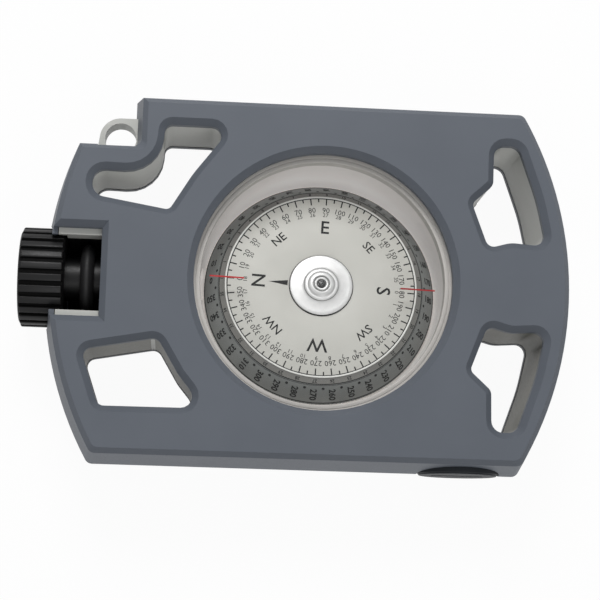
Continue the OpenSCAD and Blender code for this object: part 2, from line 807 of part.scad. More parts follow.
module card_magnets() color([0.45, 0.45, 0.47]) leaned() {
    for (side = [-1, 1]) translate([0, side * magnet_y, card_under - magnet.z / 2])
        cube(magnet, center = true);
}
module jewel_bearing() color(red) leaned() {
    difference() {
        translate([0, 0, jewel_under]) cylinder(r = jewel_r, h = jewel_h, $fn = 48);
        translate([0, 0, jewel_under - slice_t])
            cylinder(r1 = jewel_r * 3 / 4, r2 = cup_r, h = tip_z - jewel_under + slice_t, $fn = 48);
        translate([0, 0, tip_z]) sphere(r = cup_r, $fn = 48);
    }
}

// The eyepiece tube slides in the cradle and carries the stop collar
module eyepiece_tube() color(black) {
    difference() {
        union() {
            along_x(flange_x, tube_end, tube_r);
            along_x(flange_x, flange_x + flange_t, flange_r);
        }
        along_x(flange_x - over, tube_end + over, tube_r - tube_wall);
        along_x(tube_end - field_deep, tube_end + over, field_r + run_gap);
        translate([guide_x - guide_r - rest_gap, -guide_r - run_gap, mid + tube_r - guide_deep])
            cube([2 * (guide_r + rest_gap) + focus_travel, 2 * (guide_r + run_gap), over]);
    }
}
module stop_collar() color(black) {
    bulge = collar_w / 2;
    translate([collar_x + bulge, 0, mid]) rotate([0, 90, 0]) rotate_extrude() hull() {
        translate([collar_d / 2 - bulge, 0]) circle(r = bulge, $fn = 32);
        translate([tube_r, -bulge]) square([bulge, collar_w]);
    }
}
module along_x_ring(x0, x1, r_out, r_in) {
    difference() {
        along_x(x0, x1, r_out);
        along_x(x0 - over, x1 + over, r_in);
    }
}
field_r = tube_r - tube_wall / 2;
field_deep = 2.2;
field_x = tube_end - 0.7;
module field_lens() color(clear) {
    bulge_r = 9;
    intersection() {
        along_x(tube_end - field_deep, field_x, field_r);
        translate([field_x - bulge_r, 0, mid]) sphere(r = bulge_r);
    }
}
module field_retainer() color(dark) {
    along_x_ring(field_x, tube_end - rest_gap, field_r, field_r - 0.9);
}

// The ribbed ring that turns to focus, with its lens in a screwed cell
module focus_ring() color(black) {
    difference() {
        union() {
            cone_x(ring_outer, rib_x, ring_r - rib_h - rib_in, ring_r - rib_h);
            along_x(rib_x, ring_inner, ring_r - rib_h);
            translate([rib_x, 0, mid]) rotate([0, 90, 0]) linear_extrude(ring_inner - rib_x) rib_plan();
        }
        along_x(step_x - over, ring_inner + over, tube_r + run_gap);
        along_x(ring_outer - over, step_x, cell_r + run_gap);
        cone_x(ring_outer - slice_t, cell_face, cell_r + cell_wall, cell_r + run_gap);
    }
}
// Bevel at the ring's outer end, in front of the ribs
rib_in = 0.4;
rib_x = ring_outer + rib_in;
// Half widths of a rib at its foot and its top
rib_pitch = 2 * PI * ring_r / ribs;
rib_foot = rib_pitch * 0.36;
rib_top = rib_pitch * 0.2;
module rib_plan() {
    for (i = [0:ribs - 1]) rotate(360 * i / ribs)
        translate([ring_r - 2 * rib_h, 0]) polygon([
            [0, -rib_foot], [rib_h, -rib_foot], [2 * rib_h, -rib_top],
            [2 * rib_h, rib_top], [rib_h, rib_foot], [0, rib_foot]
        ]);
}
module lens_cell() color(black) {
    difference() {
        along_x(cell_face, seat_x, cell_r);
        along_x(cell_face - over, seat_x + over, eye_bore_r);
        along_x(cell_face - over, lens_back, eye_lens_r + run_gap);
    }
}
eye_bulge_r = 9.5;
lens_lip = 0.8;
eye_bore_r = eye_lens_r - lens_lip;
lens_rest = 1.0;
lens_back = seat_x - lens_rest;
lens_front = lens_back - eye_lens_t;
module eye_lens() color(clear) {
    intersection() {
        along_x(lens_front, lens_back, eye_lens_r);
        translate([lens_front + eye_bulge_r, 0, mid]) sphere(r = eye_bulge_r);
    }
}
module lens_retainer() color(dark) {
    rest_x = lens_front + eye_bulge_r - sqrt(eye_bulge_r * eye_bulge_r - eye_bore_r * eye_bore_r);
    along_x_ring(cell_face + rest_gap, rest_x, eye_lens_r, eye_bore_r);
}

// The battery cap, with its seal, screws into the sleeve
cap_edge = 0.3;
coin_l = 9.6;
coin_deep = 0.8;
module battery_cap() color(dark) {
    difference() {
        union() {
            along_y(cap_face, cap_face + cap_edge, cap_r - cap_edge);
            along_y(cap_face + cap_edge, cap_face + cap_head, cap_r);
            along_y(cap_face + cap_head, neck_end, neck_r);
        }
        along_y(cap_face + cap_head, neck_end + over, neck_in);
        translate([cap_x, cap_face, mid]) cube([coin_l, 2 * coin_deep, coin_w], center = true);
    }
}
module cap_seal() color(black) {
    translate([cap_x, sleeve_face - cap_seal_d / 2, mid]) rotate([90, 0, 0]) rotate_extrude()
        translate([neck_r + run_gap + cap_seal_d / 2, 0]) circle(d = cap_seal_d, $fn = 24);
}

top_cover();
bottom_cover();
core_frame();
cover_screws();
capsule_bowl();
capsule_lens();
capsule_seal();
filler_plug();
index_lines();
pivot_pin();
pivot_foot();
sight_window();
sight_line();
eyepiece_cradle();
tube_seal();
guide_pin();
battery_sleeve();
cell_spring();
coin_cell();
lamp_board();
lamp();
card_disc();
card_skirt();
hub_cap();
bearing_collar();
card_magnets();
jewel_bearing();
eyepiece_tube();
stop_collar();
field_lens();
field_retainer();
focus_ring();
lens_cell();
eye_lens();
lens_retainer();
cap_seal();
battery_cap();
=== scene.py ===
# %% [markdown]
# # A flat sighting compass
# This lesson dresses a CAD model of a hand-held compass in Blender. The CAD frame
# brings every solid in metres, in one shared frame: +Z up through the window, +X
# towards the far end and -X towards the eyepiece. A solid whose shape is right only
# gets a better material. A solid that needs softer edges or finer detail is replaced
# by a new piece that rides on the same body, so it moves with the same joint.

# %% Frame and units
import json
import math

import bmesh
import bpy
from mathutils import Matrix, Vector


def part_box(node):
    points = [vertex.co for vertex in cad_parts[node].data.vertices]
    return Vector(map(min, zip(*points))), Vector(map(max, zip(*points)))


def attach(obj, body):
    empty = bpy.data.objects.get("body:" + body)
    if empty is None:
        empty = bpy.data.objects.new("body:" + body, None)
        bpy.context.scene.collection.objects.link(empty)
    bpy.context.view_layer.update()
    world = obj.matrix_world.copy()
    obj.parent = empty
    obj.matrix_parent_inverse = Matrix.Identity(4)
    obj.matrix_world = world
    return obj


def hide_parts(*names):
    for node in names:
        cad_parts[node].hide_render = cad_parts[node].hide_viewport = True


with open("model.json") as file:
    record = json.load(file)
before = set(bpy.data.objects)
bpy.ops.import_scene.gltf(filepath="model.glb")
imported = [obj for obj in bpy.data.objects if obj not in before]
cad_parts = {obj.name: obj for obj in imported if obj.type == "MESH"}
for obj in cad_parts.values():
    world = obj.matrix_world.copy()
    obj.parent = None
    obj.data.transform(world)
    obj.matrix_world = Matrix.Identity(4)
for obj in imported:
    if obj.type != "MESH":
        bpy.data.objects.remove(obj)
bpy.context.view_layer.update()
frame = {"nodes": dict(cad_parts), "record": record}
mm = 0.001


# %% [markdown]
# ## Camera
# The picture was taken from above with a long lens, tipped about ten degrees. The
# place and turn below were solved from the right angles of the body and from the
# round window. A camera could also be aimed with a Track To constraint, but a solved
# turn keeps the horizon's small roll as well.

# %% Camera
CAMERA_PLACE = (-26.9, -55.17, 340.3)
CAMERA_TURN = (8.963, -4.261, 1.55)
cam_data = bpy.data.cameras.new("camera")
cam_data.sensor_width = 36.0
cam_data.lens = 105.0
cam_data.clip_start = 0.01
camera = bpy.data.objects.new("camera", cam_data)
camera.location = Vector(CAMERA_PLACE) * mm
camera.rotation_euler = [math.radians(a) for a in CAMERA_TURN]
bpy.context.collection.objects.link(camera)
bpy.context.scene.camera = camera
print("camera height over the floor in mm:", round(camera.location.z / mm, 1))

# %% [markdown]
# ## Floor and world
# The object lies on a plain white sweep in a studio. The floor's own colour is pale,
# and for rays from the camera it is mixed with an even white, so that it reads as
# white while it still takes a soft shadow. The world gives even light from all round.
# Stronger lamps would whiten the floor too, but they would bleach the object.

# %% Floor and world
FLOOR_SIZE = 3.0
FLOOR_DROP = 0.05 * mm
FLOOR_GLOW = 0.95
EVEN_LIGHT = 0.36
PLAIN_WHITE = (1, 1, 1, 1)


def node_tree(owner):
    """Clears the nodes of a material or a world, and gives what makes and links new ones."""
    owner.use_nodes = True
    tree = owner.node_tree
    tree.nodes.clear()
    return tree.nodes.new, tree.links.new


def seen_directly(new, link):
    """A 0 to 1 value that is 1 for camera, glossy and transmission rays."""
    path = new("ShaderNodeLightPath")
    value = path.outputs["Is Camera Ray"]
    for ray in ("Is Glossy Ray", "Is Transmission Ray"):
        larger = new("ShaderNodeMath")
        larger.operation = "MAXIMUM"
        link(value, larger.inputs[0])
        link(path.outputs[ray], larger.inputs[1])
        value = larger.outputs[0]
    return value


def blend_out(new, link, value, first, second, output):
    """Sends a blend of two shaders to an output node: the first at 0, the second at 1."""
    blend = new("ShaderNodeMixShader")
    link(value, blend.inputs["Fac"])
    link(first.outputs[0], blend.inputs[1])
    link(second.outputs[0], blend.inputs[2])
    link(blend.outputs[0], new(output).inputs["Surface"])


floor_mat = bpy.data.materials.new("studio_floor")
new, link = node_tree(floor_mat)
paper = new("ShaderNodeBsdfPrincipled")
paper.inputs["Base Color"].default_value = (0.86, 0.86, 0.86, 1)
paper.inputs["Roughness"].default_value = 0.9
paper.inputs["Specular IOR Level"].default_value = 0.1
glow = new("ShaderNodeEmission")
glow.inputs["Color"].default_value = PLAIN_WHITE
share = new("ShaderNodeMath")
share.operation = "MULTIPLY"
share.inputs[1].default_value = FLOOR_GLOW
link(seen_directly(new, link), share.inputs[0])
blend_out(new, link, share.outputs[0], paper, glow, "ShaderNodeOutputMaterial")

bm = bmesh.new()
bmesh.ops.create_grid(bm, x_segments=1, y_segments=1, size=FLOOR_SIZE)
bmesh.ops.translate(bm, verts=bm.verts, vec=(0, 0, -FLOOR_DROP))
floor_mesh = bpy.data.meshes.new("studio_floor")
bm.to_mesh(floor_mesh)
bm.free()
floor = bpy.data.objects.new("studio_floor", floor_mesh)
floor_mesh.materials.append(floor_mat)
bpy.context.collection.objects.link(floor)

world = bpy.data.worlds.new("studio")
bpy.context.scene.world = world
new, link = node_tree(world)
even = new("ShaderNodeBackground")
even.inputs["Color"].default_value = (0.97, 0.985, 1.0, 1)
even.inputs["Strength"].default_value = EVEN_LIGHT
white = new("ShaderNodeBackground")
white.inputs["Color"].default_value = PLAIN_WHITE
white.inputs["Strength"].default_value = 1.0
blend_out(new, link, seen_directly(new, link), even, white, "ShaderNodeOutputWorld")
bpy.context.scene.view_settings.view_transform = "Standard"
print("floor and world are ready")

# %% [markdown]
# ## Lamps
# The main lamp stands on the far side, so the near rims of each opening, whose bevels
# face it, show lighter than the far rims. A Sun lamp would be simpler, but it throws
# hard shadows, while a square Area lamp throws the soft ones of a studio. A second,
# weaker lamp opens the shadows on the near side.

# %% Lamps
AIM = Vector((0, 0, 0.01))


def soft_box(name, place, power, size):
    """A square lamp at a place in metres, turned towards the object."""
    data = bpy.data.lights.new(name, "AREA")
    data.energy = power
    data.size = size
    lamp = bpy.data.objects.new(name, data)
    lamp.location = place
    lamp.rotation_euler = (AIM - Vector(place)).to_track_quat("-Z", "Y").to_euler()
    bpy.context.collection.objects.link(lamp)


soft_box("key", (-0.06, 0.38, 0.42), 2.05, 0.22)
soft_box("fill", (0.1, -0.42, 0.5), 0.9, 0.4)

# %% [markdown]
# ## Finishes
# Every finish is built from nodes that read Object coordinates, so it stays put on a
# piece that moves. A moulded plastic has two close tones in soft patches, and a fine
# grain that goes into the bump and a little into the roughness. A turned metal adds
# the lathe's circles. An image texture could do this too, but nodes need no file and
# keep their scale on any piece.

# %% Parts of a finish
NOISE_LOW, NOISE_HIGH = 0.3, 0.7


def rgb(red, green, blue):
    """A colour as a picture holds it, 0 to 255, made linear for the shader."""
    steps = [c / 255 for c in (red, green, blue)]
    linear = [c / 12.92 if c <= 0.04045 else ((c + 0.055) / 1.055) ** 2.4 for c in steps]
    return (*linear, 1.0)


def new_finish(name):
    """A material with one shader: the material, its shader, and what makes and links nodes."""
    material = bpy.data.materials.new(name)
    new, link = node_tree(material)
    body = new("ShaderNodeBsdfPrincipled")
    out = new("ShaderNodeOutputMaterial")
    link(body.outputs["BSDF"], out.inputs["Surface"])
    return material, body, new, link


def object_noise(new, link, size, detail=3.0, rough=0.5):
    """Noise over Object coordinates whose features are about `size` mm across."""
    place = new("ShaderNodeTexCoord")
    noise = new("ShaderNodeTexNoise")
    noise.inputs["Scale"].default_value = 1 / (size * mm)
    noise.inputs["Detail"].default_value = detail
    noise.inputs["Roughness"].default_value = rough
    link(place.outputs["Object"], noise.inputs["Vector"])
    return noise.outputs["Fac"]


def spread(new, link, value, low, high):
    """The middle range of a 0 to 1 value stretched between two numbers."""
    scale = new("ShaderNodeMapRange")
    scale.inputs["From Min"].default_value = NOISE_LOW
    scale.inputs["From Max"].default_value = NOISE_HIGH
    scale.inputs["To Min"].default_value = low
    scale.inputs["To Max"].default_value = high
    link(value, scale.inputs["Value"])
    return scale.outputs["Result"]


def two_tones(new, link, value, one, two):
    """A colour that goes from one tone to the other with a 0 to 1 value."""
    mix = new("ShaderNodeMix")
    mix.data_type = "RGBA"
    tone_a, tone_b, result = mix.inputs[6], mix.inputs[7], mix.outputs[2]
    tone_a.default_value = one
    tone_b.default_value = two
    link(value, mix.inputs["Factor"])
    return result


def raise_grain(new, link, value, strength, depth, body):
    """Makes a 0 to 1 value stand out of the surface by a depth in mm."""
    bump = new("ShaderNodeBump")
    bump.inputs["Strength"].default_value = strength
    bump.inputs["Distance"].default_value = depth * mm
    link(value, bump.inputs["Height"])
    link(bump.outputs["Normal"], body.inputs["Normal"])


print("the cover's grey, made linear:", [round(c, 3) for c in rgb(86, 91, 99)])

# %% [markdown]
# ### Moulded plastic, rubber and print
# Most of this compass is moulded. A mould's surface is never quite even, so each finish
# takes two tones a few steps apart. One function makes them all, and only the tones, the
# gloss and the size of the grain differ.

# %% Moulded finishes
def moulded(name, one, two, rough, patch=9.0, grain=0.35, depth=0.02, spec=0.35, coat=0.0):
    """Moulded plastic, rubber or print: two tones, a fine grain and a set gloss."""
    material, body, new, link = new_finish(name)
    body.inputs["Specular IOR Level"].default_value = spec
    body.inputs["Coat Weight"].default_value = coat
    tone = spread(new, link, object_noise(new, link, patch), 0, 1)
    link(two_tones(new, link, tone, rgb(*one), rgb(*two)), body.inputs["Base Color"])
    fine = object_noise(new, link, grain, detail=2.0, rough=0.6)
    link(spread(new, link, fine, rough - 0.05, rough + 0.05), body.inputs["Roughness"])
    raise_grain(new, link, fine, 0.6, depth, body)
    return material


cover_grey = moulded(
    "cover_grey", (86, 91, 99), (90, 95, 103), 0.52, patch=14, grain=0.3, depth=0.012)
frame_grey = moulded(
    "frame_grey", (188, 189, 184), (195, 195, 190), 0.42, grain=0.5, depth=0.01)
# A darker grey of the frame for the near cut-outs' walls: painted shade.
frame_painted_shade = moulded(
    "frame_painted_shade", (112, 111, 103), (119, 118, 110), 0.5, grain=0.5, depth=0.01)
seat_pale = moulded(
    "seat_pale", (194, 190, 185), (201, 197, 192), 0.4, grain=0.6, depth=0.006)
bowl_white = moulded(
    "bowl_white", (243, 237, 233), (248, 244, 241), 0.38, grain=0.6, depth=0.008)
cradle_black = moulded("cradle_black", (12, 12, 13), (16, 16, 17), 0.5, grain=0.3, spec=0.2)
knob_black = moulded(
    "knob_black", (7, 7, 8), (10, 10, 11), 0.42, grain=0.4, depth=0.012, spec=0.24)
cap_grey = moulded(
    "cap_grey", (32, 35, 39), (37, 40, 44), 0.55, grain=0.4, depth=0.015, spec=0.15)
ring_rubber = moulded("ring_rubber", (16, 16, 16), (22, 22, 22), 0.7, grain=0.25, spec=0.2)
dial_white = moulded(
    "dial_white", (188, 187, 180), (194, 193, 186), 0.45, patch=6, grain=0.2, depth=0.004)
skirt_grey = moulded(
    "skirt_grey", (118, 121, 119), (125, 128, 126), 0.5, patch=4, grain=0.25, depth=0.008)
ink_black = moulded(
    "ink_black", (10, 11, 11), (16, 17, 17), 0.6, grain=0.2, depth=0.003, spec=0.2)
line_red = moulded("line_red", (176, 38, 42), (186, 48, 50), 0.5, grain=0.2, depth=0.003)
ruby = moulded("ruby", (140, 10, 40), (160, 20, 55), 0.12, grain=0.8, depth=0.002, coat=0.5)
bar_magnet_grey = moulded(
    "bar_magnet_grey", (92, 92, 95), (110, 110, 112), 0.5, patch=2, grain=0.15)
board_green = moulded(
    "board_green", (14, 84, 48), (20, 96, 56), 0.3, patch=3, grain=0.4, depth=0.01, coat=0.3)
lamp_cream = moulded(
    "lamp_cream", (236, 230, 205), (242, 238, 216), 0.15, patch=1, grain=0.5, depth=0.003,
    coat=0.6)
print("moulded finishes:", len(bpy.data.materials) - 1)

# %% [markdown]
# ### Turned metals
# The hub and the brass pieces come off a lathe, which leaves fine circles round their
# axis. A Wave texture in Rings makes them. The hub is blasted satin as well, so only a
# part of it mirrors like bare metal. Circles cut into the mesh would also do, but they
# are far too fine for it.

# %% Turned metals
LATHE_PITCH = 0.16
LATHE_DEPTH = 0.006


def turned_metal(name, one, two, rough, metal=1.0):
    """Bright metal with the circles of a lathe round its upright axis."""
    material, body, new, link = new_finish(name)
    body.inputs["Metallic"].default_value = metal
    tone = spread(new, link, object_noise(new, link, 1.2), 0, 1)
    link(two_tones(new, link, tone, rgb(*one), rgb(*two)), body.inputs["Base Color"])
    place = new("ShaderNodeTexCoord")
    rings = new("ShaderNodeTexWave")
    rings.wave_type = "RINGS"
    rings.rings_direction = "Z"
    rings.inputs["Scale"].default_value = math.pi / (10 * LATHE_PITCH * mm)
    rings.inputs["Distortion"].default_value = 0.0
    link(place.outputs["Object"], rings.inputs["Vector"])
    circles = rings.outputs["Fac"]
    raise_grain(new, link, circles, 0.5, LATHE_DEPTH, body)
    link(spread(new, link, circles, rough - 0.04, rough + 0.04), body.inputs["Roughness"])
    return material


hub_silver = turned_metal("hub_silver", (190, 190, 189), (197, 197, 196), 0.36, metal=0.3)
# A darker cut of the hub's metal for its steep walls: a painted reflection.
hub_painted_reflection = turned_metal("hub_painted_reflection", (128, 129, 127), (142, 142, 140), 0.36, metal=0.3)
lathe_brass = turned_metal("lathe_brass", (196, 160, 92), (206, 172, 104), 0.3)
satin_steel = turned_metal("satin_steel", (176, 177, 180), (190, 191, 193), 0.34)
print("metals:", hub_silver.name, hub_painted_reflection.name, lathe_brass.name, satin_steel.name)

# %% [markdown]
# ### Clear pieces
# The window is thin and clear, and light has to pass to the dial below. A glass shader would cast
# a dark shadow there, so it is a Principled shader with a low alpha. A Layer Weight raises the
# alpha towards its edge, so its pale tint shows more there: partly the real gloss of acrylic at a
# grazing angle, and partly a painted reflection.
# The eyepiece's lenses are hidden deep in their tube, so those can be true glass.

# %% Clear pieces
def clear_disc(name, tone, least, most):
    """A clear thin piece: nearly no alpha face on, and more at a grazing angle."""
    material, body, new, link = new_finish(name)
    body.inputs["IOR"].default_value = 1.49
    # The pale tint, stronger at a grazing angle, is partly a painted reflection.
    tint = two_tones(new, link, object_noise(new, link, 20), rgb(*tone), PLAIN_WHITE)
    link(tint, body.inputs["Base Color"])
    polish = spread(new, link, object_noise(new, link, 6), 0.02, 0.05)
    link(polish, body.inputs["Roughness"])
    edge = new("ShaderNodeLayerWeight")
    edge.inputs["Blend"].default_value = 0.25
    scale = new("ShaderNodeMapRange")
    scale.inputs["To Min"].default_value = least
    scale.inputs["To Max"].default_value = most
    link(edge.outputs["Facing"], scale.inputs["Value"])
    link(scale.outputs["Result"], body.inputs["Alpha"])
    return material


def optic(name, tone):
    """Coated glass for the eyepiece's lenses."""
    material, body, new, link = new_finish(name)
    body.inputs["Transmission Weight"].default_value = 0.9
    body.inputs["IOR"].default_value = 1.52
    body.inputs["Coat Weight"].default_value = 0.4
    tint = two_tones(new, link, object_noise(new, link, 8), rgb(*tone), PLAIN_WHITE)
    link(tint, body.inputs["Base Color"])
    polish = spread(new, link, object_noise(new, link, 3), 0.0, 0.03)
    link(polish, body.inputs["Roughness"])
    return material


window_clear = clear_disc("window_clear", (236, 240, 240), 0.01, 0.12)
lens_glass = optic("lens_glass", (206, 220, 236))
print("clear finishes:", window_clear.name, lens_glass.name)

# %% [markdown]
# ## Materials for the solids that keep their shape
# Most of the inner solids are right as they are. Each gets its finish by name, in its
# own material slots.

# %% Dress the solids
def dress(piece, material):
    """Gives all of a piece's slots one material."""
    mesh = piece.data
    if not mesh.materials:
        mesh.materials.append(material)
    for i in range(len(mesh.materials)):
        mesh.materials[i] = material


SOLIDS = {
    "capsule_seal": ring_rubber, "tube_seal": ring_rubber, "cap_seal": ring_rubber,
    "filler_plug": lathe_brass, "pivot_foot": lathe_brass, "cell_spring": lathe_brass,
    "bearing_collar": lathe_brass, "pivot_pin": satin_steel, "guide_pin": satin_steel,
    "coin_cell": satin_steel, "eyepiece_tube": knob_black, "field_retainer": knob_black,
    "lens_cell": knob_black, "lens_retainer": knob_black, "field_lens": lens_glass,
    "eye_lens": lens_glass, "sight_window": window_clear, "sight_line": ink_black,
    "index_lines": line_red, "battery_sleeve": cradle_black, "lamp_board": board_green,
    "lamp": lamp_cream, "jewel_bearing": ruby, "card_magnets": bar_magnet_grey,
}
for name, material in SOLIDS.items():
    dress(frame["nodes"][name], material)
print("dressed solids:", len(SOLIDS))

# %% [markdown]
# ## Moulded shells with soft edges
# A mould never leaves a knife edge. The covers, the light frame between them and the
# black cradle keep the CAD's planes, so a copy of each solid is merged into clean
# faces and its sharp edges get a small rounded bevel. A Bevel modifier could do the
# same, but the operator lets the script pick the edges by their angle. The Weighted
# Normal modifier then keeps the large planes flat beside the small rounded faces.

# %% Rounded edges and finished pieces
def round_off(bm, edges, width, segments):
    """Rounds a list of edges by a width in mm."""
    bmesh.ops.bevel(
        bm, geom=edges, offset=width * mm, offset_type="OFFSET", segments=segments,
        profile=0.5, affect="EDGES", material=-1, clamp_overlap=True,
    )


def round_edges(bm, width, segments=3, least=25.0):
    """Rounds every edge that is sharper than an angle, and says how many there were."""
    limit = math.radians(least)
    sharp = [e for e in bm.edges if len(e.link_faces) == 2 and e.calc_face_angle(0) > limit]
    round_off(bm, sharp, width, segments)
    return len(sharp)


def finished_piece(bm, name, material, body, node=None, crease=35.0):
    """Makes a bmesh an object that rides on a body, smooth but for its sharp edges."""
    limit = math.radians(crease)
    for face in bm.faces:
        face.smooth = True
    for edge in bm.edges:
        edge.smooth = len(edge.link_faces) == 2 and edge.calc_face_angle(0) < limit
    mesh = bpy.data.meshes.new(name)
    bm.to_mesh(mesh)
    bm.free()
    piece = bpy.data.objects.new(name, mesh)
    bpy.context.collection.objects.link(piece)
    mesh.materials.append(material)
    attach(piece, body)
    if node:
        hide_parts(node)
    return piece


# %% [markdown]
# Each shell is one call. The width of its rounding follows the real part: the covers'
# edges are the softest, and the small screws keep the finest ones. The cap's slot and
# the screws' crosses are already cut in the CAD, so a copy keeps them.

# %% Softened copies
MERGE_WITHIN = 0.002 * mm
FLAT_WITHIN = math.radians(0.6)
SHELL_EDGE = 28.0


def soft_copy(node, name, material, body, width, reshape=None):
    """A merged copy of a CAD solid whose sharp outer edges are rounded."""
    bm = bmesh.new()
    bm.from_mesh(frame["nodes"][node].data)
    bmesh.ops.remove_doubles(bm, verts=bm.verts, dist=MERGE_WITHIN)
    bmesh.ops.dissolve_limit(bm, angle_limit=FLAT_WITHIN, verts=bm.verts, edges=bm.edges)
    if reshape:
        reshape(bm)
    rounded = round_edges(bm, width, segments=2, least=SHELL_EDGE)
    piece = finished_piece(bm, name, material, body, node)
    flat = piece.modifiers.new("flat_planes", "WEIGHTED_NORMAL")
    flat.keep_sharp = True
    print(name, "rounded edges:", rounded, "faces:", len(piece.data.polygons))
    return piece


soft_copy("top_cover", "top_shell", cover_grey, "root", 0.2)
soft_copy("bottom_cover", "bottom_shell", cover_grey, "root", 0.2)
light_frame = soft_copy("core_frame", "light_frame", frame_grey, "root", 0.12)
soft_copy("eyepiece_cradle", "slot_cradle", cradle_black, "root", 0.12)
soft_copy("cover_screws", "cross_screws", satin_steel, "root", 0.1)
soft_copy("battery_cap", "coin_cap", cap_grey, "cap", 0.15)

# %% [markdown]
# The picture shows the walls of the two cut-outs on the near side as a darker grey, and that shade
# is painted: the faces there get a second, darker slot, picked by where they are. A weaker lamp on
# that side would do it too, but it would change the covers as well.

# %% Darker walls on the near side
# The near cut-outs' walls take the darker slot, which is painted shade.
light_frame.data.materials.append(frame_painted_shade)
NEAR_WALLS = {"far end": (25, 48, -29, -5), "eyepiece end": (-46, -22, -29, -12)}
for place, (x0, x1, y0, y1) in NEAR_WALLS.items():
    walls = [
        face for face in light_frame.data.polygons
        if x0 < face.center.x / mm < x1 and y0 < face.center.y / mm < y1
    ]
    for face in walls:
        face.material_index = 1
    print("darker faces at the", place, len(walls))

# %% [markdown]
# The card swings on its point, so the foot of its skirt moves on a ball. The inner wall
# of a real cup follows that ball, with a little room, and then catches light all the
# way down. The CAD wall is upright, so the copy is cut into bands with bisect_plane and
# the bands' points move in to the ball. A lathe piece in the cup would do as well, but
# it would close the sighting port.

# %% Cup that follows the card
joints = frame["record"]["behaviour"]["joints"]
spin_joint = [joint for joint in joints if joint["name"] == "card_spin"][0]
tip = Vector(spin_joint["pos_m"])
tip_z = tip.z / mm
WALL_R, WALL_TOP, SEAT_IN = 23.3, 15.0, 23.1
BALL_R = 22.85
BANDS = (14.9, 12.6, 11.0, 9.5, 8.0, 6.5, 5.2)
NEAR_WALL = 0.06
BELOW_TOP = 0.05


def ball_wall(height):
    """The wall's radius in mm at a height in mm."""
    deep = tip_z - height
    if deep < 0:
        return BALL_R - (SEAT_IN - BALL_R) * deep / (WALL_TOP - tip_z)
    return math.sqrt(BALL_R ** 2 - deep ** 2)


def lean_wall(bm):
    """Moves the points of the cup's inner wall in to the ball round the card's point."""
    for height in BANDS:
        bmesh.ops.bisect_plane(
            bm, geom=bm.verts[:] + bm.edges[:] + bm.faces[:], dist=0.0001 * mm,
            plane_co=(0, 0, height * mm), plane_no=(0, 0, 1),
        )
    moved = 0
    for vert in bm.verts:
        radius = math.hypot(vert.co.x, vert.co.y)
        height = vert.co.z / mm
        if abs(radius / mm - WALL_R) < NEAR_WALL and height < WALL_TOP - BELOW_TOP:
            share = ball_wall(height) * mm / radius
            vert.co.x, vert.co.y = vert.co.x * share, vert.co.y * share
            moved += 1
    print("points of the cup's wall moved:", moved)


soft_copy("capsule_bowl", "capsule_cup", bowl_white, "root", 0.1, reshape=lean_wall)

# %% [markdown]
# The cup is thin white plastic that lets light through, and its inner wall should stay pale right
# down to the card. Subsurface scattering would be the full way, but it is slow and doesn't export,
# so the wall gets painted light: a faint glow that fades with the height.

# %% Painted light on the cup's wall
GLOW_FROM, GLOW_TO = 5.0, 14.0
GLOW_LOW, GLOW_HIGH = 0.22, 0.02
tree = bowl_white.node_tree
place = tree.nodes.new("ShaderNodeTexCoord")
split = tree.nodes.new("ShaderNodeSeparateXYZ")
fade = tree.nodes.new("ShaderNodeMapRange")
fade.inputs["From Min"].default_value = GLOW_FROM * mm
fade.inputs["From Max"].default_value = GLOW_TO * mm
fade.inputs["To Min"].default_value = GLOW_LOW
fade.inputs["To Max"].default_value = GLOW_HIGH
shader = [n for n in tree.nodes if n.type == "BSDF_PRINCIPLED"][0]
# The glow on the cup's wall is painted light, strongest near the card.
shader.inputs["Emission Color"].default_value = rgb(255, 250, 247)
tree.links.new(place.outputs["Object"], split.inputs["Vector"])
tree.links.new(split.outputs["Z"], fade.inputs["Value"])
tree.links.new(fade.outputs["Result"], shader.inputs["Emission Strength"])
print("glow of the cup from", GLOW_LOW, "at the card to", GLOW_HIGH, "at the window")

# %% [markdown]
# ## Turned pieces
# The window, the dial plate, the skirt, the hub and the eyepiece's bead are all round,
# and a lathe or a round mould makes the real ones. The spin operator does the same: a
# half section is drawn as a chain of points and swept once round its axis. A half
# section is easier to read and to change than a stack of cylinders.

# %% Lathe
EYEPIECE_Z = 10.5
UP = Matrix.Identity(4)
UP_AXIS = Vector((0, 0, 1))
INTO_EYEPIECE = (
    Matrix.Translation((0, 0, EYEPIECE_Z * mm)) @ Matrix.Rotation(math.radians(90), 4, "Y"))


def turned(section, steps=128, place=UP, closed=True):
    """Spins a half section of (radius, height) points in mm once round its axis."""
    bm = bmesh.new()
    points = [bm.verts.new((r * mm, 0, h * mm)) for r, h in section]
    chain = [bm.edges.new(pair) for pair in zip(points, points[1:])]
    if closed:
        chain.append(bm.edges.new((points[-1], points[0])))
    bmesh.ops.spin(
        bm, geom=points + chain, axis=(0, 0, 1), cent=(0, 0, 0), angle=2 * math.pi,
        steps=steps, use_merge=True,
    )
    bmesh.ops.remove_doubles(bm, verts=bm.verts, dist=0.001 * mm)
    bmesh.ops.recalc_face_normals(bm, faces=bm.faces)
    bmesh.ops.transform(bm, matrix=place, verts=bm.verts)
    return bm


print("the eyepiece's axis is at a height in mm of", EYEPIECE_Z)

# %% [markdown]
# ### The window
# The real window is a flat disc of clear acrylic with a small polished chamfer. The
# chamfer catches the light as a thin bright line just inside the cover's rim. Its foot
# is narrower than its top, so that it sits on a ledge.

